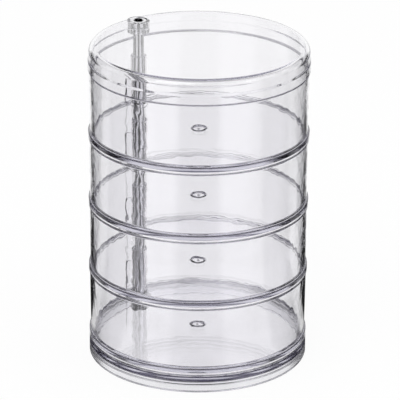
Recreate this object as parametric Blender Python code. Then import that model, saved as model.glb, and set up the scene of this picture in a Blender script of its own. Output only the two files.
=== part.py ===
"""Round clear organizer tower: four stacked trays and a lid that swivel on one bolt beside the wall.

The ground is z = 0 and the tower's own axis is x = y = 0. The bolt stands behind and to the left of it.
Each moving piece has its origin on the bolt's axis, at the height of its bottom edge.
"""

import math

import bmesh
import bpy

MM = 0.001

# Roundness of the mesh
RIM_STEPS = 40
BOSS_STEPS = 24
CURVE_STEPS = 4
HEX_STEPS = 6
SHARP_ANGLE = math.radians(30)
WELD = 0.01 * MM

# Sizes of the whole tower
TRAY_COUNT = 4
RIM_RADIUS = 82.5 * MM
TRAY_PITCH = 53.2 * MM
BASE_HEIGHT = 13.1 * MM
LID_HEIGHT = 18.8 * MM
PIVOT_BEARING = math.radians(129.9)

# Clearances
SLIDE_GAP = 0.3 * MM
SEAT_GAP = 0.3 * MM
ROD_CLEARANCE = 0.35 * MM
HEAD_CLEARANCE = 0.3 * MM
CUT_OVERRUN = 2.0 * MM

# Walls of the trays
WALL = 2.5 * MM
WALL_STEP = 0.7 * MM
WALL_DRAFT = 0.5 * MM
FLANGE_HEIGHT = 6.0 * MM
FLOOR = 4.8 * MM
FLOOR_RECESS = 1.2 * MM
FOOT_WIDTH = 5.0 * MM
FOOT_DRAFT = 0.3 * MM
FLOOR_FILLET = 1.5 * MM
EDGE_BREAK = 0.4 * MM
GATE_RADIUS = 5.7 * MM
GATE_DEPTH = 0.35 * MM

# Sleeve that each tray turns on
BOSS_RADIUS = 6.0 * MM
BOSS_WALL_GAP = 0.8 * MM
BOSS_HEADROOM = 11.0 * MM
COLLAR_RADIUS = 6.6 * MM
COLLAR_DROP = 0.9 * MM
WEB_THICKNESS = 1.0 * MM
WEB_SPREAD = math.radians(50)
WEB_HEIGHT_SHARE = 0.69

# Lid
LID_WALL = 2.5 * MM
LID_STEP = 0.6 * MM
LID_BEAD_HEIGHT = 7.9 * MM
LID_ROUND = 5.0 * MM
LID_BOSS_WALL = 1.6 * MM
LID_BOSS_HEIGHT = 11.3 * MM

# Base and its foot ring
PLATE = 5.2 * MM
NUT_SEAT = 2.5 * MM
SKIRT_WALL = 3.0 * MM
SKIRT_FILLET = 0.4 * MM
GROOVE_HEIGHT = 9.6 * MM
GROOVE_DEPTH = 0.5 * MM
UPSTAND_WALL = 2.0 * MM
UPSTAND_DEPTH = 1.2 * MM
UPSTAND_HEADROOM = 0.6 * MM
POCKET_CLEARANCE = 0.6 * MM

# Bolt, nut and washers
ROD_RADIUS = 4.0 * MM
ROD_CHAMFER = 0.8 * MM
HEAD_RADIUS = 6.5 * MM
HEAD_HEIGHT = 6.0 * MM
HEAD_CHAMFER = 0.6 * MM
HEAD_SINK = 0.3 * MM
SOCKET_FLATS = 6.0 * MM
SOCKET_DEPTH = 4.0 * MM
HEAD_WASHER = 1.0 * MM
NUT_FLATS = 13.0 * MM
NUT_HEIGHT = 6.8 * MM
NUT_CHAMFER = 0.7 * MM
NUT_WASHER = 1.6 * MM
NUT_WASHER_RADIUS = 8.0 * MM
ROD_PROTRUSION = 0.6 * MM

# Sizes that follow from the ones above
WALL_RADIUS_TOP = RIM_RADIUS - WALL_STEP
WALL_RADIUS_LOW = WALL_RADIUS_TOP - WALL_DRAFT
INNER_RADIUS_TOP = WALL_RADIUS_TOP - WALL
INNER_RADIUS_LOW = WALL_RADIUS_LOW - WALL
TRAY_HEIGHT = TRAY_PITCH - SLIDE_GAP
FLOOR_TOP = FLOOR_RECESS + FLOOR
BORE_RADIUS = ROD_RADIUS + ROD_CLEARANCE
PIVOT_REACH = INNER_RADIUS_LOW - BOSS_WALL_GAP - BOSS_RADIUS
PIVOT_X = PIVOT_REACH * math.cos(PIVOT_BEARING)
PIVOT_Y = PIVOT_REACH * math.sin(PIVOT_BEARING)
LID_BOTTOM = BASE_HEIGHT + TRAY_COUNT * TRAY_PITCH
LID_TOP = LID_BOTTOM + LID_HEIGHT
COUNTERBORE_RADIUS = HEAD_RADIUS + HEAD_CLEARANCE
HEAD_TOP = LID_TOP - HEAD_SINK
HEAD_BOTTOM = HEAD_TOP - HEAD_HEIGHT
HEAD_WASHER_TOP = HEAD_BOTTOM - SEAT_GAP
HEAD_WASHER_BOTTOM = HEAD_WASHER_TOP - HEAD_WASHER
COUNTERBORE_FLOOR = HEAD_WASHER_BOTTOM - SEAT_GAP
BASE_TOP = BASE_HEIGHT - SLIDE_GAP
PLATE_BOTTOM = BASE_TOP - PLATE
FOOT_HEIGHT = PLATE_BOTTOM - UPSTAND_HEADROOM - UPSTAND_DEPTH
POCKET_TOP = BASE_TOP - NUT_SEAT
NUT_WASHER_TOP = POCKET_TOP - SEAT_GAP
NUT_WASHER_BOTTOM = NUT_WASHER_TOP - NUT_WASHER
NUT_TOP = NUT_WASHER_BOTTOM - SEAT_GAP
NUT_BOTTOM = NUT_TOP - NUT_HEIGHT
ROD_END = NUT_BOTTOM - ROD_PROTRUSION
POCKET_RADIUS = NUT_WASHER_RADIUS + POCKET_CLEARANCE


def clear_scene():
    for obj in list(bpy.data.objects):
        bpy.data.objects.remove(obj, do_unlink=True)


def material(name, colour, roughness, metallic, alpha):
    """Principled material with one colour."""
    mat = bpy.data.materials.new(name)
    mat.use_nodes = True
    shader = mat.node_tree.nodes["Principled BSDF"]
    shader.inputs["Base Color"].default_value = (*colour, 1)
    shader.inputs["Roughness"].default_value = roughness
    shader.inputs["Metallic"].default_value = metallic
    shader.inputs["Alpha"].default_value = alpha
    return mat


def turned(outline, steps, centre=(0, 0)):
    """Mesh of a (radius, height) outline turned about the vertical line through centre.

    An outline that starts and ends on the line makes a solid, and any other outline makes a ring.
    """
    bm = bmesh.new()
    verts = [bm.verts.new((radius, 0, height)) for radius, height in outline]
    edges = [bm.edges.new(pair) for pair in zip(verts, verts[1:])]
    if outline[0][0] > 0:
        edges.append(bm.edges.new((verts[-1], verts[0])))
    bmesh.ops.spin(bm, geom=verts + edges, cent=(0, 0, 0), axis=(0, 0, 1), angle=math.tau, steps=steps)
    bmesh.ops.remove_doubles(bm, verts=bm.verts, dist=WELD)
    bmesh.ops.recalc_face_normals(bm, faces=bm.faces)
    bmesh.ops.translate(bm, verts=bm.verts, vec=(*centre, 0))
    mesh = bpy.data.meshes.new("turned")
    bm.to_mesh(mesh)
    bm.free()
    return mesh


def slab(start, bearing, length, thickness, low, high):
    """Mesh of an upright slab that runs from start along a bearing."""
    along = (math.cos(bearing), math.sin(bearing))
    half = thickness / 2
    ends = [(start[0] + along[0] * run, start[1] + along[1] * run) for run in (0, length)]
    sides = [(ends[0], half), (ends[0], -half), (ends[1], -half), (ends[1], half)]
    bm = bmesh.new()
    foot = [bm.verts.new((x - along[1] * off, y + along[0] * off, low)) for (x, y), off in sides]
    face = bm.faces.new(foot)
    raised = bmesh.ops.extrude_face_region(bm, geom=[face])["geom"]
    top = [item for item in raised if isinstance(item, bmesh.types.BMVert)]
    bmesh.ops.translate(bm, verts=top, vec=(0, 0, high - low))
    bmesh.ops.recalc_face_normals(bm, faces=bm.faces)
    mesh = bpy.data.meshes.new("slab")
    bm.to_mesh(mesh)
    bm.free()
    return mesh


def carve(mesh, *steps):
    """Mesh after a row of (operation, tool mesh) Booleans."""
    body = bpy.data.objects.new("body", mesh)
    bpy.context.scene.collection.objects.link(body)
    tools = []
    for operation, tool_mesh in steps:
        tool = bpy.data.objects.new("tool", tool_mesh)
        bpy.context.scene.collection.objects.link(tool)
        tools.append(tool)
        boolean = body.modifiers.new(operation.lower(), "BOOLEAN")
        boolean.operation = operation
        boolean.object = tool
    depsgraph = bpy.context.evaluated_depsgraph_get()
    result = bpy.data.meshes.new_from_object(body.evaluated_get(depsgraph))
    for obj in [body, *tools]:
        bpy.data.objects.remove(obj, do_unlink=True)
    return result


def place(name, mesh, mat, location=(0, 0, 0)):
    """Named object for one piece, shaded smooth with its real edges kept sharp."""
    mesh.name = name
    mesh.materials.clear()
    mesh.materials.append(mat)
    mesh.shade_smooth()
    mesh.set_sharp_from_angle(angle=SHARP_ANGLE)
    obj = bpy.data.objects.new(name, mesh)
    obj.location = location
    bpy.context.scene.collection.objects.link(obj)
    return obj


def arc(centre, radius, start, end):
    """Points of an arc in an outline, both ends included, with angles in degrees."""
    turns = [math.radians(start + (end - start) * step / CURVE_STEPS) for step in range(CURVE_STEPS + 1)]
    return [(centre[0] + radius * math.cos(turn), centre[1] + radius * math.sin(turn)) for turn in turns]


def cylinder(radius, low, high, steps=BOSS_STEPS, centre=(0, 0)):
    return turned([(0, low), (radius, low), (radius, high), (0, high)], steps, centre)


def reach_to_circle(bearing, radius):
    """Distance from the pivot, along a bearing, to a circle about the tower's axis."""
    across = PIVOT_X * math.cos(bearing) + PIVOT_Y * math.sin(bearing)
    return math.sqrt(across**2 + radius**2 - PIVOT_REACH**2) - across


def tray_mesh():
    """One tray, about the pivot, with z = 0 at its bottom edge.

    A cup with a thick floor on a low foot, a flange round it, and a sleeve for the bolt that two webs tie to the wall.
    """
    tower_axis = (-PIVOT_X, -PIVOT_Y)
    foot_inner = RIM_RADIUS - FOOT_WIDTH
    flat_floor = INNER_RADIUS_LOW - FLOOR_FILLET
    fillet = arc((flat_floor, FLOOR_TOP + FLOOR_FILLET), FLOOR_FILLET, 0, -90)
    cup = turned(
        [
            (0, FLOOR_RECESS),
            (foot_inner - FOOT_DRAFT, FLOOR_RECESS),
            (foot_inner, 0),
            (RIM_RADIUS - EDGE_BREAK, 0),
            (RIM_RADIUS, EDGE_BREAK),
            (RIM_RADIUS, FLANGE_HEIGHT - EDGE_BREAK),
            (RIM_RADIUS - EDGE_BREAK, FLANGE_HEIGHT),
            (WALL_RADIUS_LOW, FLANGE_HEIGHT),
            (WALL_RADIUS_TOP, TRAY_HEIGHT - EDGE_BREAK),
            (WALL_RADIUS_TOP - EDGE_BREAK, TRAY_HEIGHT),
            (INNER_RADIUS_TOP + EDGE_BREAK, TRAY_HEIGHT),
            (INNER_RADIUS_TOP, TRAY_HEIGHT - EDGE_BREAK),
            *fillet,
            (GATE_RADIUS, FLOOR_TOP),
            (GATE_RADIUS - GATE_DEPTH, FLOOR_TOP - GATE_DEPTH),
            (0, FLOOR_TOP - GATE_DEPTH),
        ],
        RIM_STEPS,
        tower_axis,
    )
    boss_top = TRAY_PITCH - BOSS_HEADROOM
    mid_floor = FLOOR_RECESS + FLOOR / 2
    sleeve = turned(
        [
            (0, FLOOR_RECESS - COLLAR_DROP),
            (COLLAR_RADIUS, FLOOR_RECESS - COLLAR_DROP),
            (COLLAR_RADIUS, mid_floor),
            (BOSS_RADIUS, mid_floor),
            (BOSS_RADIUS, boss_top - EDGE_BREAK),
            (BOSS_RADIUS - EDGE_BREAK, boss_top),
            (0, boss_top),
        ],
        BOSS_STEPS,
    )
    web_top = FLOOR_TOP + WEB_HEIGHT_SHARE * (boss_top - FLOOR_TOP)
    webs = []
    for side in (-1, 1):
        bearing = PIVOT_BEARING + side * WEB_SPREAD
        length = reach_to_circle(bearing, INNER_RADIUS_LOW + WALL / 2)
        webs.append(("UNION", slab((0, 0), bearing, length, WEB_THICKNESS, mid_floor, web_top)))
    bore = cylinder(BORE_RADIUS, -CUT_OVERRUN, boss_top + CUT_OVERRUN)
    return carve(cup, ("UNION", sleeve), *webs, ("DIFFERENCE", bore))


def lid_mesh():
    """The lid, about the pivot, with z = 0 at its bottom edge.

    A shallow cap with a rounded shoulder and a bead at its foot. A round boss takes the head of the bolt.
    """
    tower_axis = (-PIVOT_X, -PIVOT_Y)
    outer = RIM_RADIUS - LID_STEP
    shoulder = (outer - LID_ROUND, LID_HEIGHT - LID_ROUND)
    inner = outer - LID_WALL
    cap = turned(
        [
            (0, LID_HEIGHT),
            *arc(shoulder, LID_ROUND, 90, 0),
            (outer, LID_BEAD_HEIGHT + LID_STEP),
            (RIM_RADIUS, LID_BEAD_HEIGHT),
            (RIM_RADIUS, EDGE_BREAK),
            (RIM_RADIUS - EDGE_BREAK, 0),
            (inner + EDGE_BREAK, 0),
            (inner, EDGE_BREAK),
            *arc(shoulder, LID_ROUND - LID_WALL, 0, 90),
            (0, LID_HEIGHT - LID_WALL),
        ],
        RIM_STEPS,
        tower_axis,
    )
    boss_radius = COUNTERBORE_RADIUS + LID_BOSS_WALL
    boss = turned(
        [
            (0, LID_HEIGHT - LID_BOSS_HEIGHT),
            (boss_radius - EDGE_BREAK, LID_HEIGHT - LID_BOSS_HEIGHT),
            (boss_radius, LID_HEIGHT - LID_BOSS_HEIGHT + EDGE_BREAK),
            (boss_radius, LID_HEIGHT),
            (0, LID_HEIGHT),
        ],
        BOSS_STEPS,
    )
    bore = cylinder(BORE_RADIUS, -CUT_OVERRUN, LID_HEIGHT + CUT_OVERRUN)
    counterbore = cylinder(COUNTERBORE_RADIUS, COUNTERBORE_FLOOR - LID_BOTTOM, LID_HEIGHT + CUT_OVERRUN)
    return carve(cap, ("UNION", boss), ("DIFFERENCE", bore), ("DIFFERENCE", counterbore))


def base_mesh():
    """The base, in the tower's frame: a thick plate with a low skirt, a groove round it and a pocket for the nut."""
    pivot = (PIVOT_X, PIVOT_Y)
    inner = RIM_RADIUS - SKIRT_WALL
    skirt_bottom = FOOT_HEIGHT + SEAT_GAP
    disc = turned(
        [
            (0, BASE_TOP),
            (RIM_RADIUS - EDGE_BREAK, BASE_TOP),
            (RIM_RADIUS, BASE_TOP - EDGE_BREAK),
            (RIM_RADIUS, GROOVE_HEIGHT + GROOVE_DEPTH),
            (RIM_RADIUS - GROOVE_DEPTH, GROOVE_HEIGHT),
            (RIM_RADIUS, GROOVE_HEIGHT - GROOVE_DEPTH),
            (RIM_RADIUS, skirt_bottom),
            (inner, skirt_bottom),
            (inner, PLATE_BOTTOM - SKIRT_FILLET),
            (inner - SKIRT_FILLET, PLATE_BOTTOM),
            (0, PLATE_BOTTOM),
        ],
        RIM_STEPS,
    )
    pocket = cylinder(POCKET_RADIUS, -CUT_OVERRUN, POCKET_TOP, centre=pivot)
    bore = cylinder(BORE_RADIUS, -CUT_OVERRUN, BASE_TOP + CUT_OVERRUN, centre=pivot)
    return carve(disc, ("DIFFERENCE", pocket), ("DIFFERENCE", bore))


def foot_ring_mesh():
    """The soft ring that the tower stands on, with an upstand that grips inside the skirt."""
    grip = RIM_RADIUS - SKIRT_WALL - SEAT_GAP
    inner = grip - UPSTAND_WALL
    ring = turned(
        [
            (inner, 0),
            (RIM_RADIUS - EDGE_BREAK, 0),
            (RIM_RADIUS, EDGE_BREAK),
            (RIM_RADIUS, FOOT_HEIGHT),
            (grip, FOOT_HEIGHT),
            (grip, FOOT_HEIGHT + UPSTAND_DEPTH),
            (inner, FOOT_HEIGHT + UPSTAND_DEPTH),
        ],
        RIM_STEPS,
    )
    pocket = cylinder(POCKET_RADIUS, -CUT_OVERRUN, BASE_TOP, centre=(PIVOT_X, PIVOT_Y))
    return carve(ring, ("DIFFERENCE", pocket))


def bolt_mesh():
    """The long cap bolt, about its own axis, in the tower's heights."""
    shank = turned(
        [
            (0, ROD_END),
            (ROD_RADIUS - ROD_CHAMFER, ROD_END),
            (ROD_RADIUS, ROD_END + ROD_CHAMFER),
            (ROD_RADIUS, HEAD_BOTTOM),
            (HEAD_RADIUS, HEAD_BOTTOM),
            (HEAD_RADIUS, HEAD_TOP - HEAD_CHAMFER),
            (HEAD_RADIUS - HEAD_CHAMFER, HEAD_TOP),
            (0, HEAD_TOP),
        ],
        BOSS_STEPS,
    )
    corner = SOCKET_FLATS / 2 / math.cos(math.pi / HEX_STEPS)
    socket = cylinder(corner, HEAD_TOP - SOCKET_DEPTH, HEAD_TOP + CUT_OVERRUN, HEX_STEPS)
    return carve(shank, ("DIFFERENCE", socket))


def washer_mesh(radius, low, high):
    outline = [(BORE_RADIUS, low), (radius, low), (radius, high), (BORE_RADIUS, high)]
    return turned(outline, BOSS_STEPS)


def nut_mesh():
    """Hexagon nut: a hexagon cut to a chamfered barrel, with a bore."""
    corner = NUT_FLATS / 2 / math.cos(math.pi / HEX_STEPS)
    rise = NUT_CHAMFER * math.tan(SHARP_ANGLE)
    barrel = turned(
        [
            (0, NUT_BOTTOM),
            (corner - NUT_CHAMFER, NUT_BOTTOM),
            (corner + NUT_CHAMFER, NUT_BOTTOM + 2 * rise),
            (corner + NUT_CHAMFER, NUT_TOP - 2 * rise),
            (corner - NUT_CHAMFER, NUT_TOP),
            (0, NUT_TOP),
        ],
        BOSS_STEPS,
    )
    hexagon = cylinder(corner, NUT_BOTTOM - CUT_OVERRUN, NUT_TOP + CUT_OVERRUN, HEX_STEPS)
    bore = cylinder(BORE_RADIUS, NUT_BOTTOM - CUT_OVERRUN, NUT_TOP + CUT_OVERRUN)
    return carve(barrel, ("INTERSECT", hexagon), ("DIFFERENCE", bore))


def build():
    clear_scene()
    clear = material("clear_plastic", (0.86, 0.86, 0.92), 0.04, 0, 0.3)
    foot = material("frosted_foot", (0.82, 0.82, 0.86), 0.35, 0, 0.6)
    chrome = material("polished_steel", (0.78, 0.78, 0.8), 0.12, 1, 1)
    zinc = material("bright_zinc", (0.7, 0.71, 0.73), 0.25, 1, 1)
    pivot = (PIVOT_X, PIVOT_Y, 0)

    place("base_disc", base_mesh(), clear)
    place("foot_ring", foot_ring_mesh(), foot)
    place("pivot_bolt", bolt_mesh(), chrome, pivot)
    head_washer = washer_mesh(HEAD_RADIUS, HEAD_WASHER_BOTTOM, HEAD_WASHER_TOP)
    place("head_washer", head_washer, zinc, pivot)
    nut_washer = washer_mesh(NUT_WASHER_RADIUS, NUT_WASHER_BOTTOM, NUT_WASHER_TOP)
    place("nut_washer", nut_washer, zinc, pivot)
    place("pivot_nut", nut_mesh(), zinc, pivot)

    tray = tray_mesh()
    for number in range(1, TRAY_COUNT + 1):
        bottom = BASE_HEIGHT + (TRAY_COUNT - number) * TRAY_PITCH
        place(f"tray_{number}", tray, clear, (PIVOT_X, PIVOT_Y, bottom))
    place("lid", lid_mesh(), clear, (PIVOT_X, PIVOT_Y, LID_BOTTOM))


build()
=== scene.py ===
# %% [markdown]
# # A clear swivel organizer tower
# Four round trays of clear moulded plastic stand on each other under a lid, and all of them turn on
# one long bolt beside the wall. This lesson dresses the imported solids: every clear piece is made
# again as a smooth, finely divided surface, because light bends at each wall and flat facets would
# show as broken streaks. We start by loading the solids, which stay where they are. Their boxes
# give every place used below.

# %% Load the frame
import math

import bmesh
import bpy
import numpy as np
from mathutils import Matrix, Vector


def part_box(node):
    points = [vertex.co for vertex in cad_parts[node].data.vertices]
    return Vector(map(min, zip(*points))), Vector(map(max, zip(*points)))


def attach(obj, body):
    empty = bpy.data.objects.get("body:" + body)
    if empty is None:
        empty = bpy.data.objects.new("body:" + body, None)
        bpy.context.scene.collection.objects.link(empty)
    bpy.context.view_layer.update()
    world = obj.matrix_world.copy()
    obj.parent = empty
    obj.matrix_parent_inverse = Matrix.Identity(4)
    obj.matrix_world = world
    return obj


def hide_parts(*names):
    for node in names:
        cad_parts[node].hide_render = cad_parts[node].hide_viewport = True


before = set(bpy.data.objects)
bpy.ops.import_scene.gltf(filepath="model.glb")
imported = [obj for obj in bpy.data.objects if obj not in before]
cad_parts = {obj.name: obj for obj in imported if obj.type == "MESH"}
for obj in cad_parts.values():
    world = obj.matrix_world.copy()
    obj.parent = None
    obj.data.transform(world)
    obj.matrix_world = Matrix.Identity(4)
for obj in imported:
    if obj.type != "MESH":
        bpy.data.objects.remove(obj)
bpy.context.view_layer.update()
print("solids:", sorted(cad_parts))

# %% [markdown]
# ## Places and sizes
# The rim radius, the height of each tray's lower edge and the bolt's place are read from the
# solids. The wall thicknesses and roundings are the tower's own sizes, written once here in
# millimetres and turned into metres. Where a size must agree with a solid, as the bore and the boss
# must, it has the same value as that solid.

# %% Places and sizes
MM = 0.001
TRAYS = ("tray_1", "tray_2", "tray_3", "tray_4")


def low_edge(node):
    """Height of a node's lowest point."""
    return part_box(node)[0][2]


def top_edge(node):
    """Height of a node's highest point."""
    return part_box(node)[1][2]


bolt_low, bolt_high = (np.array(corner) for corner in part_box("pivot_bolt"))
PIVOT = tuple((bolt_low[:2] + bolt_high[:2]) / 2)
PIVOT_REACH = math.hypot(*PIVOT)
PIVOT_BEARING = math.atan2(PIVOT[1], PIVOT[0])
RIM_RADIUS = (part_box("tray_1")[1][0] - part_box("tray_1")[0][0]) / 2
TRAY_HEIGHT = top_edge("tray_1") - low_edge("tray_1")
LID_HEIGHT = top_edge("lid") - low_edge("lid")
BASE_TOP = top_edge("base_disc")

WALL = 2.5 * MM
WALL_STEP = 0.7 * MM
WALL_DRAFT = 0.5 * MM
FLANGE_HEIGHT = 6.0 * MM
FLOOR = 4.8 * MM
FLOOR_RECESS = 1.2 * MM
FOOT_WIDTH = 5.0 * MM
FOOT_DRAFT = 0.3 * MM
FLOOR_FILLET = 1.5 * MM
BORE_RADIUS = 4.35 * MM
BOSS_RADIUS = 6.0 * MM
BOSS_HEIGHT = 36.2 * MM
COLLAR_RADIUS = 6.6 * MM
COLLAR_DROP = 0.9 * MM
print("pivot", PIVOT, "rim radius", RIM_RADIUS, "tray height", TRAY_HEIGHT)

# %% [markdown]
# ## The camera
# The photograph was taken from far off with a long lens: the rims keep almost the same width from
# top to bottom. Its distance, height and slight roll were found by matching the ellipses of the
# rims, and they are written in rim radii, so that they follow the size of the tower.

# %% Camera
CAMERA_ELEVATION = 0.38273
CAMERA_DISTANCE_RADII = 26.97
CAMERA_AIM_HEIGHT_RADII = 1.4644
CAMERA_ASIDE_RADII = 0.0143
CAMERA_ROLL = -0.0070
CAMERA_SENSOR = 36.0
FOCAL_PIXELS = 2958.8
PICTURE_PIXELS = 400


def add_camera():
    """Camera whose axes are worked out from its elevation and roll, and placed by its aim and distance."""
    ce, se = math.cos(CAMERA_ELEVATION), math.sin(CAMERA_ELEVATION)
    cr, sr = math.cos(CAMERA_ROLL), math.sin(CAMERA_ROLL)
    ahead = np.array([0, ce, -se])
    right = np.array([1.0, 0, 0])
    up = np.array([0, se, ce])
    axes = np.eye(4)
    axes[:3, 0] = cr * right - sr * up
    axes[:3, 1] = sr * right + cr * up
    axes[:3, 2] = -ahead
    aim = np.array([CAMERA_ASIDE_RADII, 0, CAMERA_AIM_HEIGHT_RADII]) * RIM_RADIUS
    axes[:3, 3] = aim - ahead * CAMERA_DISTANCE_RADII * RIM_RADIUS
    data = bpy.data.cameras.new("photo_camera")
    data.sensor_width = CAMERA_SENSOR
    data.lens = FOCAL_PIXELS * CAMERA_SENSOR / PICTURE_PIXELS
    camera = bpy.data.objects.new("photo_camera", data)
    bpy.context.scene.collection.objects.link(camera)
    camera.matrix_world = [list(row) for row in axes.T.tolist()]
    bpy.context.scene.camera = camera
    return camera


camera = add_camera()
camera_place = tuple(round(value, 3) for value in camera.matrix_world.translation)
print("lens", round(camera.data.lens, 1), "camera at", camera_place)

# %% [markdown]
# ## Outlines with rounded corners
# A turned piece starts as an outline of radius and height. Real mouldings have no perfectly sharp
# edge: each corner has a small radius, and it is there that clear plastic catches a line of light.
# So an outline here is a few corners, each with its own radius. Close to each rounding two more
# points hold the flat parts flat when the surface is shaded smooth.

# %% Rounded outlines
ARC_STEPS = 7
HOLD = 0.25 * MM
SAME_POINT = 0.0005 * MM


def rounded(corners, closed=False):
    """Points of an outline from rows of (radius, height, rounding).

    At a corner P between unit vectors a and b to its neighbours, half the angle between them is h. The arc of
    radius r touches both sides at r / tan h from P, and its centre lies r / sin h from P along a + b.
    """
    rows = np.array(corners, dtype=float)
    point, radius = rows[:, :2], rows[:, 2:3]
    before, after = np.roll(point, 1, axis=0), np.roll(point, -1, axis=0)
    a, b = before - point, after - point
    length_a = np.linalg.norm(a, axis=1, keepdims=True)
    length_b = np.linalg.norm(b, axis=1, keepdims=True)
    a, b = a / length_a, b / length_b
    half = np.arccos(np.clip((a * b).sum(1, keepdims=True), -1, 1)) / 2
    reach = radius / np.tan(half)
    middle = a + b
    middle = middle / np.maximum(np.linalg.norm(middle, axis=1, keepdims=True), 1e-12)
    centre = point + middle * radius / np.sin(half)
    start, end = point + a * reach - centre, point + b * reach - centre
    first = np.arctan2(start[:, 1], start[:, 0])
    swing = np.arctan2(end[:, 1], end[:, 0]) - first
    swing = (swing + np.pi) % (2 * np.pi) - np.pi
    share = np.linspace(0, 1, ARC_STEPS + 1)
    angle = first[:, None] + swing[:, None] * share
    arcs = centre[:, None] + radius[:, None] * np.stack([np.cos(angle), np.sin(angle)], axis=2)
    room_a = np.maximum(length_a - reach - np.roll(reach, 1, axis=0), 0)
    room_b = np.maximum(length_b - reach - np.roll(reach, -1, axis=0), 0)
    near_a = point + a * (reach + np.minimum(HOLD, room_a / 3))
    near_b = point + b * (reach + np.minimum(HOLD, room_b / 3))
    path = np.concatenate([near_a[:, None], arcs, near_b[:, None]], axis=1)
    if not closed:
        path[0, :-1] = point[0]
        path[-1, 1:] = point[-1]
    path = path.reshape(-1, 2)
    step = np.linalg.norm(np.diff(path, axis=0), axis=1)
    keep = np.concatenate([[True], step > SAME_POINT])
    path = path[keep]
    if closed and np.linalg.norm(path[0] - path[-1]) < SAME_POINT:
        path = path[:-1]
    return path


def fine_rim(outline, radius, step):
    """Outline with its parts beyond a radius cut into equal steps, so that a thin band can be drawn there.

    Step k of n between points P and Q starts at P + (Q - P) k / n, where n is the length over the step,
    rounded up.
    """
    start, end = outline[:-1], outline[1:]
    length = np.linalg.norm(end - start, axis=1)
    beyond = np.minimum(start[:, 0], end[:, 0]) > radius
    count = np.where(beyond, np.ceil(length / step), 1).astype(int)
    count = np.maximum(count, 1)
    first = np.repeat(np.cumsum(count) - count, count)
    share = ((np.arange(count.sum()) - first) / np.repeat(count, count))[:, None]
    points = np.repeat(start, count, axis=0) + np.repeat(end - start, count, axis=0) * share
    return np.concatenate([points, outline[-1:]])


# %% [markdown]
# ## Surfaces of revolution
# A turned surface has two parameters: the place along the outline and the angle round the axis. The
# whole grid of points is one numpy array. A solid's outline starts and ends on the axis, and there
# the grid closes to a point. A ring's outline closes on itself.

# %% Turned surfaces
FINE_STEPS = 192
SMALL_STEPS = 64
SMOOTH_ANGLE = math.radians(32)


def to_mesh(name, points, faces):
    """Mesh from an array of points and a list of face rows."""
    mesh = bpy.data.meshes.new(name)
    mesh.from_pydata(points.tolist(), [], faces)
    mesh.validate()
    return mesh


def turned(name, outline, steps=SMALL_STEPS, centre=(0.0, 0.0)):
    """Surface (r(s) cos t, r(s) sin t, z(s)) about an upright line: s runs along the outline, t round it.

    The outline runs so that the solid lies on its left, which puts the outward side of each quad outside.
    """
    solid = outline[0, 0] < SAME_POINT
    rings = outline[1:-1] if solid else outline
    t = np.linspace(0, 2 * np.pi, steps, endpoint=False)
    x = rings[:, :1] * np.cos(t)
    y = rings[:, :1] * np.sin(t)
    z = np.broadcast_to(rings[:, 1:], x.shape)
    points = np.stack([x, y, z], axis=2).reshape(-1, 3)
    count = len(rings)
    index = np.arange(count * steps).reshape(count, steps)
    if solid:
        lower, upper = index[:-1], index[1:]
    else:
        lower, upper = index, np.roll(index, -1, axis=0)
    quads = np.stack([lower, np.roll(lower, -1, axis=1), np.roll(upper, -1, axis=1), upper], axis=2)
    faces = quads.reshape(-1, 4).tolist()
    if solid:
        ends = np.array([[0, 0, outline[0, 1]], [0, 0, outline[-1, 1]]])
        first, last = len(points), len(points) + 1
        points = np.concatenate([points, ends])
        ring = index[0]
        fan = np.stack([np.full(steps, first), np.roll(ring, -1), ring], axis=1)
        faces += fan.tolist()
        ring = index[-1]
        fan = np.stack([np.full(steps, last), ring, np.roll(ring, -1)], axis=1)
        faces += fan.tolist()
    points = points + np.array([*centre, 0])
    return to_mesh(name, points, faces)


def upright(name, section, outline):
    """Surface of a closed section (x, y) carried up, drawn in by inset(z): a prism with rounded ends.

    outline rows are (inset, height). Each section point moves towards the section's middle by the inset.
    """
    middle = section.mean(axis=0)
    spoke = section - middle
    size = np.linalg.norm(spoke, axis=1, keepdims=True)
    unit = spoke / size
    rings = [np.column_stack([section - unit * inset, np.full(len(section), z)]) for inset, z in outline]
    count, steps = len(outline), len(section)
    index = np.arange(count * steps).reshape(count, steps)
    lower, upper = index[:-1], index[1:]
    quads = np.stack([lower, np.roll(lower, -1, axis=1), np.roll(upper, -1, axis=1), upper], axis=2)
    faces = quads.reshape(-1, 4).tolist()
    faces.append(index[0][::-1].tolist())
    faces.append(index[-1].tolist())
    return to_mesh(name, np.concatenate(rings), faces)


# %% [markdown]
# ## Joining and boring
# A tray and its sleeve are one moulding. If they were two meshes, light would bend again where they
# meet, which the real tray doesn't do, so they are joined with Boolean modifiers and the result is
# kept as plain mesh. The same step bores the holes. A Boolean can leave points a hair's breadth
# apart, which are then made one.

# %% Joining and boring
WELD = 0.001 * MM


def welded(mesh):
    """The same mesh with points that lie nearer than WELD made one."""
    work = bmesh.new()
    work.from_mesh(mesh)
    bmesh.ops.remove_doubles(work, verts=work.verts, dist=WELD)
    work.to_mesh(mesh)
    work.free()
    return mesh


def point_rows(mesh):
    """Array of a mesh's points, one row each."""
    points = np.empty(len(mesh.vertices) * 3)
    mesh.vertices.foreach_get("co", points)
    return points.reshape(-1, 3)


def move_points(mesh, points):
    mesh.vertices.foreach_set("co", points.ravel())
    mesh.update()


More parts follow.
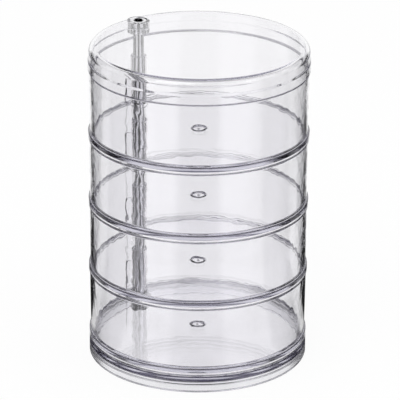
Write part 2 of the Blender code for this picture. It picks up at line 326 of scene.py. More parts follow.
def carve(name, mesh, *steps):
    """Mesh after a row of (operation, tool mesh) Booleans."""
    body = bpy.data.objects.new(name, mesh)
    bpy.context.scene.collection.objects.link(body)
    tools = []
    for operation, tool_mesh in steps:
        tool = bpy.data.objects.new("tool", tool_mesh)
        bpy.context.scene.collection.objects.link(tool)
        tools.append(tool)
        boolean = body.modifiers.new(operation.lower(), "BOOLEAN")
        boolean.operation = operation
        boolean.object = tool
    depsgraph = bpy.context.evaluated_depsgraph_get()
    result = bpy.data.meshes.new_from_object(body.evaluated_get(depsgraph))
    for obj in [body, *tools]:
        bpy.data.objects.remove(obj, do_unlink=True)
    result.name = name
    return welded(result)


def piece(name, mesh, material, body, slot, *nodes):
    """Finished piece: shaded smooth but for its real edges, with its finish, riding on its body."""
    mesh.shade_smooth()
    mesh.set_sharp_from_angle(angle=SMOOTH_ANGLE)
    mesh.materials.clear()
    mesh.materials.append(material)
    obj = bpy.data.objects.new(name, mesh)
    bpy.context.scene.collection.objects.link(obj)
    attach(obj, body)
    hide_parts(*nodes)
    mesh.calc_loop_triangles()
    print(name, len(mesh.loop_triangles), "triangles")
    return obj


# %% [markdown]
# ## Shared surface effects
# An effect that more than one material uses is a node group, made once and placed in each material
# with its own values. Three serve the clear pieces: slow waves left by the cooling of the plastic,
# faint marks of handling that make the gloss uneven, and faint clouds with near-black painted shade
# along the edges and joints. The fourth gives metal its drawn lines and the painted shade in its
# socket. All of them work from Object coordinates, so they stay on the surface when a tray swivels.
# Where one of them shows only in places, the material gives it an attribute of the mesh as a mask.

# %% Node helpers
LINE_STRETCH = (2200.0, 2200.0, 60.0)


def socket(group, name, kind, side, value=None):
    item = group.interface.new_socket(name=name, in_out=side, socket_type=kind)
    if value is not None:
        item.default_value = value
    return item


def node(tree, kind, values=(), **settings):
    """New node with its settings, and with values given as (input, value) pairs."""
    new = tree.nodes.new(kind)
    for key, value in settings.items():
        setattr(new, key, value)
    for key, value in values:
        new.inputs[key].default_value = value
    return new


def math_node(tree, operation, first, second):
    """Math node on two values, each a number or a socket."""
    new = node(tree, "ShaderNodeMath", operation=operation)
    for end, value in zip(new.inputs, (first, second)):
        if isinstance(value, bpy.types.NodeSocket):
            tree.links.new(value, end)
        else:
            end.default_value = value
    return new.outputs[0]


def moulded_waves():
    """Group with a normal: a slow noise and a finer ripple, as the heights of two bumps in a row."""
    group = bpy.data.node_groups.new("moulded_waves", "ShaderNodeTree")
    socket(group, "Depth", "NodeSocketFloat", "INPUT", 0.2)
    socket(group, "Scale", "NodeSocketFloat", "INPUT", 22.0)
    socket(group, "Ripple", "NodeSocketFloat", "INPUT", 0.0)
    socket(group, "Normal", "NodeSocketVector", "OUTPUT")
    start = node(group, "NodeGroupInput")
    end = node(group, "NodeGroupOutput")
    place = node(group, "ShaderNodeTexCoord")
    slow = node(group, "ShaderNodeTexNoise", [("Detail", 1.0), ("Roughness", 0.4)])
    bump = node(group, "ShaderNodeBump", [("Distance", 0.1 * MM)])
    fine = node(group, "ShaderNodeTexNoise", [("Scale", 170.0), ("Detail", 0.0)])
    ripple = node(group, "ShaderNodeBump", [("Distance", 0.1 * MM)])
    link = group.links.new
    link(place.outputs["Object"], slow.inputs["Vector"])
    link(start.outputs["Scale"], slow.inputs["Scale"])
    link(slow.outputs["Fac"], bump.inputs["Height"])
    link(start.outputs["Depth"], bump.inputs["Strength"])
    link(place.outputs["Object"], fine.inputs["Vector"])
    link(fine.outputs["Fac"], ripple.inputs["Height"])
    link(start.outputs["Ripple"], ripple.inputs["Strength"])
    link(bump.outputs["Normal"], ripple.inputs["Normal"])
    link(ripple.outputs["Normal"], end.inputs["Normal"])
    return group


def handling_marks():
    """Group with a roughness that varies in soft patches between a low and a high value."""
    group = bpy.data.node_groups.new("handling_marks", "ShaderNodeTree")
    socket(group, "Low", "NodeSocketFloat", "INPUT", 0.02)
    socket(group, "High", "NodeSocketFloat", "INPUT", 0.06)
    socket(group, "Scale", "NodeSocketFloat", "INPUT", 30.0)
    socket(group, "Roughness", "NodeSocketFloat", "OUTPUT")
    start = node(group, "NodeGroupInput")
    end = node(group, "NodeGroupOutput")
    place = node(group, "ShaderNodeTexCoord")
    patches = node(group, "ShaderNodeTexNoise", [("Detail", 4.0), ("Roughness", 0.6), ("Distortion", 0.6)])
    spread = node(group, "ShaderNodeMapRange", [("From Min", 0.4), ("From Max", 0.75)])
    link = group.links.new
    link(place.outputs["Object"], patches.inputs["Vector"])
    link(start.outputs["Scale"], patches.inputs["Scale"])
    link(patches.outputs["Fac"], spread.inputs["Value"])
    link(start.outputs["Low"], spread.inputs["To Min"])
    link(start.outputs["High"], spread.inputs["To Max"])
    link(spread.outputs["Result"], end.inputs["Roughness"])
    return group


def clouds_and_edge_shade():
    """Group with a colour: faint clouds of two colours, and painted shade on them where the mask is 1."""
    group = bpy.data.node_groups.new("clouds_and_edge_shade", "ShaderNodeTree")
    for name in ("Clean", "Cloudy", "Edge Shade"):
        socket(group, name, "NodeSocketColor", "INPUT")
    socket(group, "Mask", "NodeSocketFloat", "INPUT", 0.0)
    socket(group, "Color", "NodeSocketColor", "OUTPUT")
    start = node(group, "NodeGroupInput")
    end = node(group, "NodeGroupOutput")
    place = node(group, "ShaderNodeTexCoord")
    cloud = node(group, "ShaderNodeTexNoise", [("Scale", 25.0), ("Detail", 2.0)])
    clouded = node(group, "ShaderNodeMix", data_type="RGBA")
    # Painted shade: the near-black colour mixed over the clouds where the mask is 1.
    edge_shaded = node(group, "ShaderNodeMix", data_type="RGBA")
    link = group.links.new
    link(place.outputs["Object"], cloud.inputs["Vector"])
    link(cloud.outputs["Fac"], clouded.inputs[0])
    link(start.outputs["Clean"], clouded.inputs[6])
    link(start.outputs["Cloudy"], clouded.inputs[7])
    link(start.outputs["Mask"], edge_shaded.inputs[0])
    link(clouded.outputs[2], edge_shaded.inputs[6])
    link(start.outputs["Edge Shade"], edge_shaded.inputs[7])
    link(edge_shaded.outputs[2], end.inputs["Color"])
    return group


def drawn_lines():
    """Group with a colour, a roughness and a normal: fine lines along z, and painted shade where the mask is
    1.
    """
    group = bpy.data.node_groups.new("drawn_lines", "ShaderNodeTree")
    for name in ("Bright", "Dull", "Recess Shade"):
        socket(group, name, "NodeSocketColor", "INPUT")
    socket(group, "Mask", "NodeSocketFloat", "INPUT", 0.0)
    socket(group, "Low", "NodeSocketFloat", "INPUT", 0.05)
    socket(group, "High", "NodeSocketFloat", "INPUT", 0.14)
    socket(group, "Color", "NodeSocketColor", "OUTPUT")
    socket(group, "Roughness", "NodeSocketFloat", "OUTPUT")
    socket(group, "Normal", "NodeSocketVector", "OUTPUT")
    start = node(group, "NodeGroupInput")
    end = node(group, "NodeGroupOutput")
    place = node(group, "ShaderNodeTexCoord")
    stretch = node(group, "ShaderNodeMapping", [("Scale", LINE_STRETCH)])
    lines = node(group, "ShaderNodeTexNoise", [("Scale", 1.0), ("Detail", 3.0)])
    gloss = node(group, "ShaderNodeMapRange")
    shade = node(group, "ShaderNodeMix", data_type="RGBA")
    # Painted shade: the near-black colour mixed over the lines where the mask is 1.
    recess_shaded = node(group, "ShaderNodeMix", data_type="RGBA")
    bump = node(group, "ShaderNodeBump", [("Strength", 0.15), ("Distance", 0.01 * MM)])
    link = group.links.new
    link(place.outputs["Object"], stretch.inputs["Vector"])
    link(stretch.outputs["Vector"], lines.inputs["Vector"])
    link(lines.outputs["Fac"], gloss.inputs["Value"])
    link(start.outputs["Low"], gloss.inputs["To Min"])
    link(start.outputs["High"], gloss.inputs["To Max"])
    link(gloss.outputs["Result"], end.inputs["Roughness"])
    link(lines.outputs["Fac"], shade.inputs[0])
    link(start.outputs["Bright"], shade.inputs[6])
    link(start.outputs["Dull"], shade.inputs[7])
    link(start.outputs["Mask"], recess_shaded.inputs[0])
    link(shade.outputs[2], recess_shaded.inputs[6])
    link(start.outputs["Recess Shade"], recess_shaded.inputs[7])
    link(recess_shaded.outputs[2], end.inputs["Color"])
    link(lines.outputs["Fac"], bump.inputs["Height"])
    link(bump.outputs["Normal"], end.inputs["Normal"])
    return group


def placed(tree, group, values):
    """The node group, placed in a material with its own (input, value) pairs."""
    return node(tree, "ShaderNodeGroup", values, node_tree=group)


WAVES = moulded_waves()
MARKS = handling_marks()
EDGES = clouds_and_edge_shade()
LINES = drawn_lines()

# %% [markdown]
# ## Clear plastic
# The plastic is a clear, hard moulding with a faint violet-grey body colour. The body colour is an
# absorption inside the solid: a thin wall hardly shows it, and a thick rim, along which light runs
# a long way, turns lavender. The surface only adds a small loss, the waves and the marks. Its outer
# edges, the joints between parts and the gate mark get thin near-black lines of painted shade in
# the colour. An attribute of the mesh says how much, point by point.

# %% Clear plastic
PLASTIC_IOR = 1.5
PLASTIC_FILTER = (0.7, 0.69, 0.77, 1)
# Near-black colour of the painted shade along the edges, the joints and the gate mark.
EDGE_SHADE = (0.03, 0.025, 0.06, 1)
PLASTIC_DENSITY = 9.0
RIPPLE = 0.7
CLOUD_SHARE = 0.985


def plastic(name, colour, low, high, wave, density):
    """Clear plastic: Principled surface with full transmission, and absorption inside."""
    material = bpy.data.materials.new(name)
    material.use_nodes = True
    tree = material.node_tree
    shader = tree.nodes["Principled BSDF"]
    out = tree.nodes["Material Output"]
    shader.inputs["Metallic"].default_value = 0.0
    shader.inputs["Transmission Weight"].default_value = 1.0
    shader.inputs["IOR"].default_value = PLASTIC_IOR
    clean = (*colour, 1)
    cloudy = (*(CLOUD_SHARE * part for part in colour), 1)
    edges = placed(tree, EDGES, [("Clean", clean), ("Cloudy", cloudy), ("Edge Shade", EDGE_SHADE)])
    marks = placed(tree, MARKS, [("Low", low), ("High", high)])
    waves = placed(tree, WAVES, [("Depth", wave)])
    # Painted shade: this attribute masks the near-black lines along the edges and joints.
    edge_shade_mask = node(tree, "ShaderNodeAttribute", attribute_name="painted_edge_shade")
    ripple_mask = node(tree, "ShaderNodeAttribute", attribute_name="ripple")
    inside = node(tree, "ShaderNodeVolumeAbsorption", [("Color", PLASTIC_FILTER), ("Density", density)])
    link = tree.links.new
    link(edge_shade_mask.outputs["Fac"], edges.inputs["Mask"])
    link(math_node(tree, "MULTIPLY", ripple_mask.outputs["Fac"], RIPPLE), waves.inputs["Ripple"])
    link(edges.outputs["Color"], shader.inputs["Base Color"])
    link(marks.outputs["Roughness"], shader.inputs["Roughness"])
    link(waves.outputs["Normal"], shader.inputs["Normal"])
    link(inside.outputs["Volume"], out.inputs["Volume"])
    return material


clear_plastic = plastic("clear_plastic", (0.984, 0.981, 0.994), 0.0, 0.012, 0.12, PLASTIC_DENSITY)
foot_plastic = plastic("foot_plastic", (0.95, 0.95, 0.97), 0.12, 0.22, 0.3, 2 * PLASTIC_DENSITY)

# %% [markdown]
# ## Metal
# The bolt is polished steel and its washers and nut are bright plated. Polished rod is drawn
# through a die, so it keeps very fine lines along its length; here they are a noise stretched along
# the axis, and they make the gloss uneven round the rod. The inside of the socket in the head is
# painted near black, as painted shade in the deep recess. An attribute says where.

# %% Metal
# Near-black colour painted inside the bolt's socket: painted shade in the deep recess.
RECESS_SHADE = (0.012, 0.012, 0.02, 1)
DULL_SHARE = 0.86


def metal(name, colour, low, high):
    """Metal with fine drawn lines, and painted shade where its shade attribute says so."""
    material = bpy.data.materials.new(name)
    material.use_nodes = True
    tree = material.node_tree
    shader = tree.nodes["Principled BSDF"]
    shader.inputs["Metallic"].default_value = 1.0
    bright = (*colour, 1)
    dull = (*(DULL_SHARE * part for part in colour), 1)
    colours = [("Bright", bright), ("Dull", dull), ("Recess Shade", RECESS_SHADE)]
    drawn = placed(tree, LINES, colours + [("Low", low), ("High", high)])
    # Painted shade: this attribute marks the inside of the socket.
    recess_shade_mask = node(tree, "ShaderNodeAttribute", attribute_name="recess_shade")
    tree.links.new(recess_shade_mask.outputs["Fac"], drawn.inputs["Mask"])
    for given, target in (("Color", "Base Color"), ("Roughness", "Roughness"), ("Normal", "Normal")):
        tree.links.new(drawn.outputs[given], shader.inputs[target])
    return material


polished_steel = metal("polished_steel", (0.82, 0.82, 0.84), 0.05, 0.14)
bright_zinc = metal("bright_zinc", (0.72, 0.74, 0.76), 0.14, 0.28)

# %% [markdown]
# ## The trays
# Each tray is a cup with a flange round its foot. Its floor is raised inside the foot, so that only
# a narrow ring slides on the wall below, and its middle carries the round mark where the plastic
# entered the mould: a small lip with a groove inside it and a pip in the middle. All four trays
# come from one mould, so one mesh is made and moved to each height.
#
# Two attributes go with the mesh. One says where edges, joints and the gate mark get painted shade,
# and the rim is finely divided so that a thin line of it stays thin. The other says where the wall
# ripples: hot plastic shrinks unevenly on its way up the thin wall, and what is seen through it wobbles.

# %% Tray
GATE_RADIUS = 5.4 * MM
GATE_DEPTH = 0.35 * MM
GATE_LIP = 0.8 * MM
GATE_GROOVE = 1.3 * MM
GATE_STEP = 0.55 * MM
PIP_RADIUS = 0.8 * MM
PIP_HEIGHT = 0.8 * MM
FLANGE_ROUND = 0.8 * MM
WEB_THICKNESS = 1.0 * MM
WEB_SPREAD = math.radians(50)
WEB_HEIGHT_SHARE = 0.69
SMALL_ROUND = 0.35 * MM
FINE_ROUND = 0.15 * MM
SHARP_ROUND = 0.1 * MM
GATE_ROUND = 0.12 * MM
PIP_ROUND = 0.2 * MM
FOOT_ROUND = 0.4 * MM
LIP_ROUND = 0.6 * MM
ROOT_RISE = 0.3 * MM
CUT_OVERRUN = 2.0 * MM
RIM_DEPTH = 0.75 * MM
RIM_STEP = 0.35 * MM
RIPPLE_FADE = 1.0 * MM
FLOOR_TOP = FLOOR_RECESS + FLOOR
INNER_LOW = RIM_RADIUS - WALL_STEP - WALL_DRAFT - WALL


def cup_outline():
    """Outline of a tray, from the middle of its underside, out round the wall, to the middle of its floor."""
    wall_top = RIM_RADIUS - WALL_STEP
    wall_low = wall_top - WALL_DRAFT
    foot_inner = RIM_RADIUS - FOOT_WIDTH
    return rounded(
        [
            (0, FLOOR_RECESS, 0),
            (foot_inner - FOOT_DRAFT, FLOOR_RECESS, FOOT_ROUND),
            (foot_inner, 0, SMALL_ROUND),
            (RIM_RADIUS, 0, FLANGE_ROUND),
            (RIM_RADIUS, FLANGE_HEIGHT, FLANGE_ROUND),
            (wall_low, FLANGE_HEIGHT, FINE_ROUND),
            (wall_top, TRAY_HEIGHT, LIP_ROUND),
            (wall_top - WALL, TRAY_HEIGHT, LIP_ROUND),
            (INNER_LOW, FLOOR_TOP, FLOOR_FILLET),
            (GATE_RADIUS + 4 * GATE_STEP, FLOOR_TOP, 0),
            (GATE_RADIUS + GATE_STEP, FLOOR_TOP, SHARP_ROUND),
            (GATE_RADIUS + GATE_STEP / 2, FLOOR_TOP + GATE_LIP, GATE_ROUND),
            (GATE_RADIUS - GATE_STEP / 2, FLOOR_TOP + GATE_LIP, GATE_ROUND),
            (GATE_RADIUS - GATE_STEP, FLOOR_TOP - GATE_GROOVE, GATE_ROUND),
            (GATE_RADIUS - 2 * GATE_STEP, FLOOR_TOP - GATE_DEPTH, FINE_ROUND),
            (PIP_RADIUS, FLOOR_TOP - GATE_DEPTH, SHARP_ROUND),
            (PIP_RADIUS, FLOOR_TOP - GATE_DEPTH + PIP_HEIGHT, PIP_ROUND),
            (0, FLOOR_TOP - GATE_DEPTH + PIP_HEIGHT, 0),
        ]
    )


def sleeve_outline():
    """Outline of the sleeve on the floor, which flares into the floor at its root."""
    mid_floor = FLOOR_RECESS + FLOOR / 2
    top = FLOOR_TOP + BOSS_HEIGHT
    return rounded(
        [
            (0, FLOOR_RECESS - COLLAR_DROP, 0),
            (COLLAR_RADIUS, FLOOR_RECESS - COLLAR_DROP, SMALL_ROUND),
            (COLLAR_RADIUS, mid_floor, SHARP_ROUND),
            (BOSS_RADIUS, mid_floor + ROOT_RISE, SHARP_ROUND),
            (BOSS_RADIUS, top, SMALL_ROUND),
            (0, top, 0),
        ]
    )


def web(bearing, low, high):
    """Upright web from the pivot to the middle of the wall: a slab with a rounded top edge."""
    along = np.array([math.cos(bearing), math.sin(bearing)])
    side = np.array([-along[1], along[0]])
    pivot = np.array(PIVOT)
    across = pivot @ along
    wall_middle = INNER_LOW + WALL / 2
    length = math.sqrt(across**2 + wall_middle**2 - PIVOT_REACH**2) - across
    half = WEB_THICKNESS / 2
    ends = [pivot - side * half, pivot + along * length - side * half]
    section = np.array([*ends, ends[1] + side * half * 2, ends[0] + side * half * 2])
    return upright("web", section, [(0, low), (0, high - SMALL_ROUND), (SMALL_ROUND, high)])


def bore(low, high, radius=BORE_RADIUS, steps=SMALL_STEPS):
    return turned("bore", np.array([(0, low), (radius, low), (radius, high), (0, high)]), steps, PIVOT)


def tray_mesh():
    cup = turned("tray", fine_rim(cup_outline(), RIM_RADIUS - RIM_DEPTH / 2, RIM_STEP), FINE_STEPS)
    sleeve = turned("sleeve", sleeve_outline(), SMALL_STEPS, PIVOT)
    mid_floor = FLOOR_RECESS + FLOOR / 2
    web_top = FLOOR_TOP + WEB_HEIGHT_SHARE * BOSS_HEIGHT
    bearings = (PIVOT_BEARING - WEB_SPREAD, PIVOT_BEARING + WEB_SPREAD)
    webs = [("UNION", web(bearing, mid_floor, web_top)) for bearing in bearings]
    hole = bore(-CUT_OVERRUN, FLOOR_TOP + BOSS_HEIGHT + CUT_OVERRUN)
    return carve("tray", cup, ("UNION", sleeve), *webs, ("DIFFERENCE", hole))


def add_values(mesh, name, values):
    mesh.attributes.new(name, "FLOAT", "POINT").data.foreach_set("value", np.asarray(values, dtype=float))


def painted_edge_shade(mesh, rows, rings=()):
    """Attribute of painted shade: the largest of several marks, each strength * clip(2 - 2 distance / reach,
    0, 1).

    rows are (height, strength, reach) round the outer rim, and rings (radius, strength, reach) on a floor.
    """
    points = point_rows(mesh)
    radius = np.hypot(points[:, 0], points[:, 1])
    at_rim = radius > RIM_RADIUS - RIM_DEPTH
    on_floor = points[:, 2] > FLOOR_RECESS + FLOOR / 2
    shade_level = np.zeros(len(points))
    for place, marks, where in ((points[:, 2], rows, at_rim), (radius, rings, on_floor)):
        for middle, strength, reach in marks:
            mark = strength * np.clip(2 - 2 * np.abs(place - middle) / reach, 0, 1)
            shade_level = np.maximum(shade_level, np.where(where, mark, 0))
    add_values(mesh, "painted_edge_shade", shade_level)


def wall_ripple(mesh, low, high):
    """Attribute ripple: 1 on the walls between two heights, 0 elsewhere, with a short ramp at each end."""
    points = point_rows(mesh)
    inside = np.minimum(points[:, 2] - low, high - points[:, 2]) / RIPPLE_FADE
    wall = np.hypot(points[:, 0], points[:, 1]) > INNER_LOW - RIM_DEPTH
    add_values(mesh, "ripple", np.where(wall, np.clip(inside, 0, 1), 0))


def lifted(mesh, name, height):
    """Copy of a mesh, moved up by height as one array."""
    copy = mesh.copy()
    copy.name = name
    points = point_rows(copy)
    points[:, 2] += height
    move_points(copy, points)
    return copy


tray = tray_mesh()
# Painted shade along the joints at the flange's foot and top, and round the gate mark.
flange_shade = [(0, 0.95, 1.3 * MM), (FLANGE_HEIGHT, 0.88, 1.3 * MM)]
gate_shade = [(GATE_RADIUS, 0.7, 1.1 * MM), (0, 0.6, 1.2 * MM)]
painted_edge_shade(tray, flange_shade, gate_shade)
wall_ripple(tray, FLANGE_HEIGHT, TRAY_HEIGHT + RIPPLE_FADE)
for name in TRAYS:
    piece(f"clear_{name}", lifted(tray, name, low_edge(name)), clear_plastic, name, "clear_plastic", name)

# %% [markdown]
# ## The lid
# The lid is a shallow cap with a rounded shoulder and a bead at its foot. Its boss stands at the
# edge, where it cuts through the rounded shoulder, and is bored twice: once for the rod and once,
# wider, for the head.

# %% Lid
LID_WALL = 2.5 * MM
LID_STEP = 0.6 * MM
LID_BEAD_HEIGHT = 7.9 * MM
LID_ROUND = 5.0 * MM
BEAD_SOFTNESS = 0.8 * MM
BEAD_ROUND = 1.0 * MM
LID_BOSS_RADIUS = 8.4 * MM
LID_BOSS_HEIGHT = 11.3 * MM
COUNTERBORE_RADIUS = 6.8 * MM
COUNTERBORE_DEPTH = 7.9 * MM
LID_BOSS_ROUND = 0.25 * MM


def cap_outline():
    """Outline of the lid, from the middle of its underside, round bead and shoulder, to its top's middle."""
    outer = RIM_RADIUS - LID_STEP
    inner = outer - LID_WALL
    return rounded(
        [
            (0, LID_HEIGHT - LID_WALL, 0),
            (inner, LID_HEIGHT - LID_WALL, LID_ROUND - LID_WALL),
            (inner, 0, SMALL_ROUND),
            (RIM_RADIUS, 0, FLANGE_ROUND),
            (RIM_RADIUS, LID_BEAD_HEIGHT - BEAD_SOFTNESS, BEAD_ROUND),
            (outer, LID_BEAD_HEIGHT + BEAD_SOFTNESS, BEAD_ROUND),
            (outer, LID_HEIGHT, LID_ROUND),
            (0, LID_HEIGHT, 0),
        ]
    )


def lid_mesh():
    cap = turned("lid", fine_rim(cap_outline(), RIM_RADIUS - RIM_DEPTH / 2, RIM_STEP), FINE_STEPS)
    boss_outline = rounded(
        [
            (0, LID_HEIGHT - LID_BOSS_HEIGHT, 0),
            (LID_BOSS_RADIUS, LID_HEIGHT - LID_BOSS_HEIGHT, LIP_ROUND),
            (LID_BOSS_RADIUS, LID_HEIGHT, LID_BOSS_ROUND),
            (0, LID_HEIGHT, 0),
        ]
    )
    boss = turned("boss", boss_outline, SMALL_STEPS, PIVOT)
    hole = bore(-CUT_OVERRUN, LID_HEIGHT + CUT_OVERRUN)
    seat = bore(LID_HEIGHT - COUNTERBORE_DEPTH, LID_HEIGHT + CUT_OVERRUN, COUNTERBORE_RADIUS)
    return carve("lid", cap, ("UNION", boss), ("DIFFERENCE", hole), ("DIFFERENCE", seat))


lid = lid_mesh()
# Painted shade along the joint at the lid's foot.
painted_edge_shade(lid, [(0, 0.95, 1.4 * MM)])
wall_ripple(lid, 0, LID_HEIGHT - LID_ROUND)
lid = lifted(lid, "lid", low_edge("lid"))
piece("clear_lid", lid, clear_plastic, "lid", "clear_plastic", "lid")

# %% [markdown]
# ## The base and its foot ring
# The base is a plate with a skirt. A groove runs round the skirt, and the soft foot ring grips
# inside it with an upstand. Both are cut away round the nut, so that a spanner can reach it.

# %% Base and foot ring
PLATE = 5.2 * MM
SKIRT_WALL = 3.0 * MM
GROOVE_HEIGHT = 9.6 * MM
GROOVE_DEPTH = 0.5 * MM
NUT_SEAT = 2.5 * MM
UPSTAND_WALL = 2.0 * MM
POCKET_RADIUS = 8.6 * MM
FOOT_GAP = 0.3 * MM
GROOVE_ROUND = 0.2 * MM
BASE_ROUND = 0.5 * MM


def base_mesh():
    inner = RIM_RADIUS - SKIRT_WALL
    skirt_bottom = low_edge("base_disc")
    under = BASE_TOP - PLATE
    outline = rounded(
        [
            (0, under, 0),
            (inner, under, FOOT_ROUND),
            (inner, skirt_bottom, SMALL_ROUND),
            (RIM_RADIUS, skirt_bottom, SMALL_ROUND),
            (RIM_RADIUS, GROOVE_HEIGHT - GROOVE_DEPTH, GROOVE_ROUND),
            (RIM_RADIUS - GROOVE_DEPTH, GROOVE_HEIGHT, FINE_ROUND),
            (RIM_RADIUS, GROOVE_HEIGHT + GROOVE_DEPTH, GROOVE_ROUND),
            (RIM_RADIUS, BASE_TOP, BASE_ROUND),
            (RIM_RADIUS - 3 * RIM_DEPTH, BASE_TOP, 0),
            (0, BASE_TOP, 0),
        ]
    )
    disc = turned("base", fine_rim(outline, RIM_RADIUS - RIM_DEPTH, RIM_STEP), FINE_STEPS)
    pocket = bore(-CUT_OVERRUN, BASE_TOP - NUT_SEAT, POCKET_RADIUS)
    hole = bore(-CUT_OVERRUN, BASE_TOP + CUT_OVERRUN)
    return carve("base", disc, ("DIFFERENCE", pocket), ("DIFFERENCE", hole))


def foot_mesh():
    grip = RIM_RADIUS - SKIRT_WALL - FOOT_GAP
    foot_top = low_edge("base_disc") - FOOT_GAP
    top = top_edge("foot_ring")
    outline = rounded(
        [
            (grip - UPSTAND_WALL, 0, SMALL_ROUND),
            (RIM_RADIUS, 0, LIP_ROUND),
            (RIM_RADIUS, foot_top, SMALL_ROUND),
            (grip, foot_top, FINE_ROUND),
            (grip, top, SMALL_ROUND),
            (grip - UPSTAND_WALL, top, SMALL_ROUND),
        ],
        closed=True,
    )
    ring = turned("foot", outline, FINE_STEPS)
    return carve("foot", ring, ("DIFFERENCE", bore(-CUT_OVERRUN, BASE_TOP, POCKET_RADIUS)))


base = base_mesh()
skirt_edge = low_edge("base_disc")
# Painted shade along the base's top edge, its groove and the skirt's edge on the foot ring.
painted_edge_shade(base, [(BASE_TOP, 0.97, 1.3 * MM), (GROOVE_HEIGHT, 0.98, 1.5 * MM), (skirt_edge, 0.35, 1.0 * MM)])
piece("clear_base", base, clear_plastic, "base", "clear_plastic", "base_disc")
foot = foot_mesh()
# Painted shade along the foot ring's edge under the skirt.
painted_edge_shade(foot, [(skirt_edge, 0.3, 1.0 * MM)])
piece("foot_ring_soft", foot, foot_plastic, "base", "foot_plastic", "foot_ring")

# %% [markdown]
# ## The bolt, its nut and washers
# The bolt is turned in one piece with its head, and a hexagon socket is cut into the head. Its
# lower end carries a thread: there the radius of the grid depends on height and angle together, so
# the crests climb round the rod.

# %% Bolt
ROD_RADIUS = 4.0 * MM
HEAD_RADIUS = 6.5 * MM
HEAD_HEIGHT = 6.0 * MM
SOCKET_FLATS = 6.0 * MM
SOCKET_DEPTH = 4.0 * MM
MOUTH_RADIUS = 4.2 * MM
MOUTH_DEPTH = 0.9 * MM
THREAD_PITCH = 1.25 * MM
THREAD_DEPTH = 0.6 * MM
THREAD_LENGTH = 15.0 * MM
THREAD_RINGS_PER_TURN = 8
THREAD_START = 1.2 * MM
ROD_CHAMFER = 0.8 * MM
HEAD_LOW_ROUND = 0.3 * MM
HEX_SIDES = 6


def threaded(mesh, low, high):
    """Cut a thread into a turned mesh between two heights.

    The radius is less by the depth times a triangle wave of (height / pitch - angle / turn), which fades at
    both ends.
    """
    points = point_rows(mesh)
    x, y, z = points[:, 0] - PIVOT[0], points[:, 1] - PIVOT[1], points[:, 2]
    angle = np.arctan2(y, x) / (2 * np.pi)
    phase = (z / THREAD_PITCH - angle) % 1.0
    wave = np.abs(2 * phase - 1)
    run_out = np.clip(np.minimum(z - low, high - z) / THREAD_PITCH, 0, 1)
    radius = np.hypot(x, y)
    on_side = (radius > ROD_RADIUS - SAME_POINT) & (radius < ROD_RADIUS + SAME_POINT)
    shrink = np.where(on_side, 1 - THREAD_DEPTH * wave * run_out / ROD_RADIUS, 1.0)
    points[:, 0] = PIVOT[0] + x * shrink
    points[:, 1] = PIVOT[1] + y * shrink
    move_points(mesh, points)


def bolt_mesh():
    end, top = low_edge("pivot_bolt"), top_edge("pivot_bolt")
    head_bottom = top - HEAD_HEIGHT
    thread_top = end + THREAD_LENGTH
    outline = rounded(
        [
            (0, end, 0),
            (ROD_RADIUS - ROD_CHAMFER, end, SHARP_ROUND),
            (ROD_RADIUS, end + ROD_CHAMFER, SHARP_ROUND),
            (ROD_RADIUS, head_bottom, FINE_ROUND),
            (HEAD_RADIUS, head_bottom, HEAD_LOW_ROUND),
            (HEAD_RADIUS, top, LIP_ROUND),
            (0, top, 0),
        ]
    )
    ring_gap = THREAD_PITCH / THREAD_RINGS_PER_TURN
    heights = np.arange(end + THREAD_START, thread_top, ring_gap)
    rings = np.column_stack([np.full(len(heights), ROD_RADIUS), heights])
    below = outline[outline[:, 1] < heights[0]]
    above = outline[outline[:, 1] > heights[-1]]
    outline = np.concatenate([below, rings, above])
    mesh = turned("bolt", outline, SMALL_STEPS, PIVOT)
    threaded(mesh, heights[0], thread_top)
    corner = SOCKET_FLATS / 2 / math.cos(math.pi / HEX_SIDES)
    socket_cut = bore(top - SOCKET_DEPTH, top + CUT_OVERRUN, corner, HEX_SIDES)
    mouth_low = top - MOUTH_DEPTH
    mouth = [(0, mouth_low), (corner - MOUTH_DEPTH, mouth_low), (MOUTH_RADIUS, top), (0, top + CUT_OVERRUN)]
    mouth_cut = turned("mouth", np.array(mouth), SMALL_STEPS, PIVOT)
    bolt = carve("bolt", mesh, ("DIFFERENCE", socket_cut), ("DIFFERENCE", mouth_cut))
    points = point_rows(bolt)
    radius = np.hypot(points[:, 0] - PIVOT[0], points[:, 1] - PIVOT[1])
    inside = (radius < MOUTH_RADIUS - HOLD) & (points[:, 2] > top - SOCKET_DEPTH - SAME_POINT)
    # Painted shade: 1 on the socket's inside walls and bottom, the mask for the near-black colour.
    add_values(bolt, "recess_shade", inside)
    return bolt


piece("polished_bolt", bolt_mesh(), polished_steel, "base", "polished_steel", "pivot_bolt")

# %% Washers and nut
NUT_FLATS = 13.0 * MM
NUT_CHAMFER = 0.7 * MM
NUT_BEVEL = math.radians(30)
WASHER_ROUND = 0.2 * MM


def washer_mesh(node_name):
    low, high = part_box(node_name)
    radius = (high[0] - low[0]) / 2
    outline = rounded(
        [
            (BORE_RADIUS, low[2], SHARP_ROUND),
            (radius, low[2], WASHER_ROUND),
            (radius, high[2], WASHER_ROUND),
            (BORE_RADIUS, high[2], SHARP_ROUND),
        ],
        closed=True,
    )
    return turned(node_name, outline, SMALL_STEPS, PIVOT)


def nut_mesh():
    low, high = low_edge("pivot_nut"), top_edge("pivot_nut")
    corner = NUT_FLATS / 2 / math.cos(math.pi / HEX_SIDES)
    rise = 2 * NUT_CHAMFER * math.tan(NUT_BEVEL)
    barrel = np.array(
        [
            (0, low),
            (corner - NUT_CHAMFER, low),
            (corner + NUT_CHAMFER, low + rise),
            (corner + NUT_CHAMFER, high - rise),
            (corner - NUT_CHAMFER, high),
            (0, high),
        ]
    )
    mesh = turned("nut", barrel, SMALL_STEPS, PIVOT)
    ends = (low - CUT_OVERRUN, high + CUT_OVERRUN)
    hexagon = bore(*ends, corner, HEX_SIDES)
    return carve("nut", mesh, ("INTERSECT", hexagon), ("DIFFERENCE", bore(*ends)))


